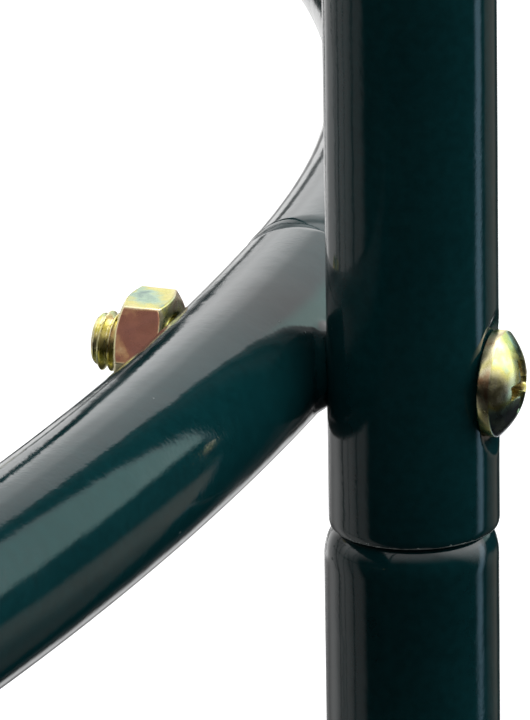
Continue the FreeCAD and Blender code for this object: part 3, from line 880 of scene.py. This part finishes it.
def build_feet():
    plate = foot_plate()
    turn = np.linspace(0, 2 * math.pi, 48, endpoint=False)
    spigot_r = BORE_R - SPIGOT_CLEARANCE
    top, root = FOOT_T + SPIGOT_H, FOOT_T - 1.0
    profile = [(CENTRE_R, root), (spigot_r, root), (spigot_r, top - SPIGOT_CHAMFER),
               (spigot_r - SPIGOT_CHAMFER, top), (CENTRE_R, top)]
    for plane, plane_y in PLANES.items():
        for side, word in ((-1, "left"), (1, "right")):
            soup = Soup()
            rows = [np.stack([side * HALF_WIDTH + q * np.cos(turn), plane_y + q * np.sin(turn),
                              np.full_like(turn, h)], -1) for q, h in profile]
            soup.grid(np.array(rows), cap_first=True, cap_last=True)
            piece = soup.make(f"{plane}_{word}_foot_plate")
            work = bmesh.new()
            work.from_mesh(plate)
            centre = Vector((side * HALF_WIDTH * MM, plane_y * MM, FOOT_T / 2 * MM))
            work.transform(Matrix.Translation(centre))
            work.from_mesh(piece.data)
            bmesh.ops.remove_doubles(work, verts=work.verts, dist=1e-6)
            bmesh.ops.recalc_face_normals(work, faces=work.faces)
            work.to_mesh(piece.data)
            work.free()
            piece.data.polygons.foreach_set("use_smooth", np.ones(len(piece.data.polygons), bool))
            piece.data.set_sharp_from_angle(angle=math.radians(35))
            piece.data.materials.clear()
            piece.data.materials.append(COAT)
            for face in piece.data.polygons:
                face.material_index = 0
            finish_piece(piece, f"{plane}_{word}_foot")


for plane, plane_y in PLANES.items():
    build_crown(plane, plane_y)
    for side, word in ((-1, "left"), (1, "right")):
        build_shoulder(plane, plane_y, side, word)
        build_leg(plane, plane_y, side, word, "upper")
        build_leg(plane, plane_y, side, word, "lower")
for name in RUNGS:
    build_rung(name)
build_fasteners()
build_caps()
build_feet()

# ---------------------------------------------------------------- camera
# Axes on the near joint: A is out along the bolt, B away from the viewer, C to the front of the arch.
AXIS_A = JOINT_OUT
AXIS_C = -ALONG_Y
AXIS_B = np.cross(AXIS_C, AXIS_A)
AZ, EL, TWIST = math.radians(17.634), math.radians(18.389), math.radians(-0.9465)
AIM_A, AIM_C = -15.02, 0.37                        # from the joint to the middle of the picture
EYE_DISTANCE = 715.9
SENSOR, FOCAL = 36.0, 367.2
back = (math.sin(AZ) * math.cos(EL) * AXIS_A - math.cos(AZ) * math.cos(EL) * AXIS_B + math.sin(EL) * AXIS_C)
right = np.cross(-back, AXIS_C)
right /= np.linalg.norm(right)
up = np.cross(right, -back)
VIEW_RIGHT = math.cos(TWIST) * right + math.sin(TWIST) * up
VIEW_UP = math.cos(TWIST) * up - math.sin(TWIST) * right
VIEW_BACK = back
target = JOINT + AXIS_A * AIM_A + AXIS_C * AIM_C
eye = target + back * EYE_DISTANCE

lens = bpy.data.cameras.new("camera")
lens.sensor_fit = "AUTO"
lens.sensor_width = SENSOR
lens.lens = FOCAL
lens.clip_start = 0.05
lens.clip_end = 100
camera = bpy.data.objects.new("camera", lens)
bpy.context.scene.collection.objects.link(camera)
basis = Matrix([list(row) for row in np.stack([VIEW_RIGHT, VIEW_UP, VIEW_BACK], 1)]).to_4x4()
camera.matrix_world = Matrix.Translation(Vector(eye * MM)) @ basis
bpy.context.scene.camera = camera


# ---------------------------------------------------------------- studio
def build_floor():
    """A pale floor that lights nothing: it is only seen."""
    mesh = bpy.data.meshes.new("floor")
    reach = 60.0
    mesh.from_pydata([(-reach, -reach, 0), (reach, -reach, 0), (reach, reach, 0), (-reach, reach, 0)], [],
                     [(0, 1, 2, 3)])
    floor = bpy.data.objects.new("floor", mesh)
    floor.location.z = CAD_LOW[2] - 0.0005
    bpy.context.scene.collection.objects.link(floor)
    made = bpy.data.materials.new("pale_floor")
    made.use_nodes = True
    shader = next(n for n in made.node_tree.nodes if n.type == "BSDF_PRINCIPLED")
    shader.inputs["Base Color"].default_value = (0.80, 0.80, 0.80, 1)
    shader.inputs["Roughness"].default_value = 0.9
    shader.inputs["Specular IOR Level"].default_value = 0.0
    shader.inputs["Emission Color"].default_value = (1, 1, 1, 1)
    shader.inputs["Emission Strength"].default_value = 0.98
    mesh.materials.append(made)
    floor.visible_glossy = False
    floor.visible_diffuse = False
    floor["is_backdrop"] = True


def build_world():
    """A soft studio made from directions: r, u and t are shares along the view's right, up and back."""
    world = bpy.data.worlds.new("studio")
    bpy.context.scene.world = world
    world.use_nodes = True
    tree = world.node_tree
    tree.nodes.clear()
    place = node_of(tree, "ShaderNodeTexCoord").outputs["Generated"]

    def along(direction):
        made = node_of(tree, "ShaderNodeVectorMath", _operation="DOT_PRODUCT")
        tree.links.new(place, made.inputs[0])
        made.inputs[1].default_value = tuple(direction)
        return made.outputs["Value"]

    def soft(source, low, high, to_low=0.0, to_high=1.0):
        made = node_of(tree, "ShaderNodeMapRange", _interpolation_type="SMOOTHSTEP")
        for key, value in (("From Min", low), ("From Max", high), ("To Min", to_low), ("To Max", to_high)):
            made.inputs[key].default_value = value
        tree.links.new(source, made.inputs["Value"])
        return made.outputs["Result"]

    def product(*values):
        return times(tree, *values)

    def towards(share, first, value):
        """first where share is 0, value where it is 1."""
        return calc(tree, "MULTIPLY_ADD", share, value, product(first, calc(tree, "SUBTRACT", 1.0, share)))

    def line(source, at, inner, outer, lowest):
        """1 everywhere but in a thin band round source = at."""
        return soft(calc(tree, "ABSOLUTE", calc(tree, "SUBTRACT", source, at)), inner, outer, lowest, 1.0)

    r, u, t = along(VIEW_RIGHT), along(VIEW_UP), along(VIEW_BACK)
    # The large bright sheet behind the joint, fading towards the viewer, with its posts, seam and cut corner.
    sheet = calc(tree, "ADD", soft(u, -0.12, 0.03, 0.18, 1.10), soft(u, 0.10, 0.30, 0.0, 0.15))
    sheet = calc(tree, "ADD", sheet, product(soft(u, 0.40, 0.50, 0.0, 0.40), soft(u, 0.58, 0.66, 1.0, 0.0)))
    sheet = towards(soft(r, 0.07, 0.17), sheet, 0.95)
    sheet = towards(product(soft(r, -0.30, -0.15, 1.0, 0.0), soft(u, -0.06, 0.0)), sheet, 1.5)
    sheet = towards(soft(r, -0.75, -0.45, 1.0, 0.0), sheet, 0.75)
    fade = product(soft(t, -0.62, -0.50, 1.0, 0.72), soft(t, -0.20, 0.0, 1.0, 0.62),
                   soft(t, 0.16, 0.32, 1.0, 0.0))
    posts = product(line(t, -0.45, 0.008, 0.022, 0.3), line(t, -0.02, 0.008, 0.022, 0.3))
    posts = calc(tree, "MAXIMUM", posts, soft(r, -0.55, -0.45))
    seam = calc(tree, "MAXIMUM", line(u, 0.12, 0.02, 0.045, 0.30), soft(t, -0.95, -0.91))
    cut = calc(tree, "MAXIMUM", soft(r, 0.20, 0.29, 1.0, 0.0), soft(u, 0.31, 0.38))
    sheet = product(sheet, fade, posts, seam, cut)
    # Two soft boxes above: one wide, one to the upper right.
    box = product(soft(u, -0.05, 0.50, 0.0, 1.0), soft(t, -0.35, -0.05))
    lobe = soft(along(0.60 * VIEW_RIGHT + 0.79 * VIEW_UP - 0.12 * VIEW_BACK), 0.45, 0.85, 0.0, 1.7)
    box = calc(tree, "ADD", box, product(lobe, soft(t, -0.45, -0.25)))
    # A narrow bluish strip at the right, a faint warm haze round it and a green tint above.
    strip_middle = calc(tree, "ABSOLUTE", calc(tree, "ADD", t, 0.25))
    strip = product(soft(r, 0.86, 0.93), soft(strip_middle, 0.03, 0.15, 1.0, 0.0),
                    soft(u, -0.36, -0.22, 0.2, 1.0))
    haze = product(soft(r, 0.40, 0.60), soft(u, -0.22, -0.05, 0.05, 0.20), soft(u, 0.0, 0.08, 1.0, 0.0),
                   soft(t, -0.52, -0.42, 1.0, 0.0))
    green = product(soft(r, 0.46, 0.58), soft(u, 0.31, 0.38), soft(t, -0.45, -0.30, 1.0, 0.0))
    total = calc(tree, "ADD", calc(tree, "ADD", sheet, box), 0.012)
    colour = node_of(tree, "ShaderNodeCombineColor")
    gains = zip(colour.inputs, (0.66, 1.02, 1.33), (1.15, 1.0, 0.85), (0.0, 0.33, 0.27))
    for socket, strip_gain, haze_gain, green_gain in gains:
        value = calc(tree, "MULTIPLY_ADD", strip, strip_gain, total)
        value = calc(tree, "MULTIPLY_ADD", green, green_gain, value)
        value = calc(tree, "MULTIPLY_ADD", haze, haze_gain, value)
        tree.links.new(value, socket)
    # The camera itself sees plain white.
    light = node_of(tree, "ShaderNodeBackground", Strength=1.0)
    tree.links.new(colour.outputs[0], light.inputs["Color"])
    pale = node_of(tree, "ShaderNodeBackground", Strength=1.0)
    pale.inputs["Color"].default_value = (1, 1, 1, 1)
    path = node_of(tree, "ShaderNodeLightPath")
    mix = node_of(tree, "ShaderNodeMixShader")
    tree.links.new(path.outputs["Is Camera Ray"], mix.inputs[0])
    tree.links.new(light.outputs[0], mix.inputs[1])
    tree.links.new(pale.outputs[0], mix.inputs[2])
    out = node_of(tree, "ShaderNodeOutputWorld")
    tree.links.new(mix.outputs[0], out.inputs["Surface"])


build_floor()
build_world()
bpy.context.scene.view_settings.view_transform = "Standard"
bpy.context.scene.view_settings.look = "None"

low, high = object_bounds()
